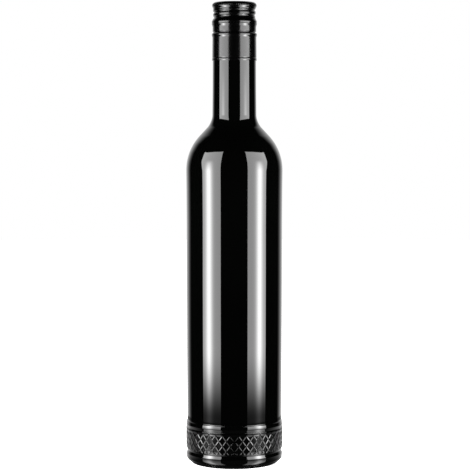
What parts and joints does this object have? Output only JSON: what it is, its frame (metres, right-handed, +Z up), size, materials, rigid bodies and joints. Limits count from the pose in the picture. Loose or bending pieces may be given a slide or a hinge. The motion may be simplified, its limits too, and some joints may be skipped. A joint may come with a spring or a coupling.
{
  "type": "glass oil bottle",
  "caption": "Slim round black glass bottle for edible oil, with a raised diamond lattice at its foot, an aluminium roll-on screw cap and a pourer pressed into its mouth.",
  "frame": {"origin": "centre of the plane that the bottle stands on", "axes": "+Z up along the bottle's axis, -Y towards the front"},
  "size_m": [0.0624, 0.0624, 0.2966],
  "materials": {
    "glass": "gloss black glass",
    "closure": "satin black lacquer",
    "wad": "matte",
    "pourer": "natural moulded polyethylene",
    "valve": "natural moulded plastic",
    "ball": "clear glass"
  },
  "bodies": {
    "bottle": {"glass_bottle": "glass", "pourer_body": "pourer", "valve_cage": "valve"},
    "wad": {"cap_wad": "wad"},
    "cap": {"cap_shell": "closure"},
    "band": {"tamper_band": "closure"},
    "disc": {"valve_disc": "valve"},
    "ball": {"valve_ball": "ball"}
  },
  "joints": [
    {"name": "cap_lift", "type": "slide", "parent": "bottle", "child": "wad", "axis": [0, 0, 1], "range_m": [0, 0.01588]},
    {"name": "cap_turn", "type": "hinge", "parent": "wad", "child": "cap", "pos_m": [0, 0, 0.29], "axis": [0, 0, 1], "range_deg": [0, 1800]},
    {"name": "band_turn", "type": "hinge", "parent": "bottle", "child": "band", "pos_m": [0, 0, 0.27], "axis": [0, 0, 1], "continuous": true},
    {"name": "disc_lift", "type": "slide", "parent": "bottle", "child": "disc", "axis": [0, 0, 1], "range_m": [0, 0.0015]},
    {"name": "ball_lift", "type": "slide", "parent": "disc", "child": "ball", "axis": [0, 0, 1], "range_m": [0, 0.0025]}
  ],
  "couplings": [
    {"joint": "cap_lift", "follows": "cap_turn", "m_per_rad": 0.0005053}
  ]
}
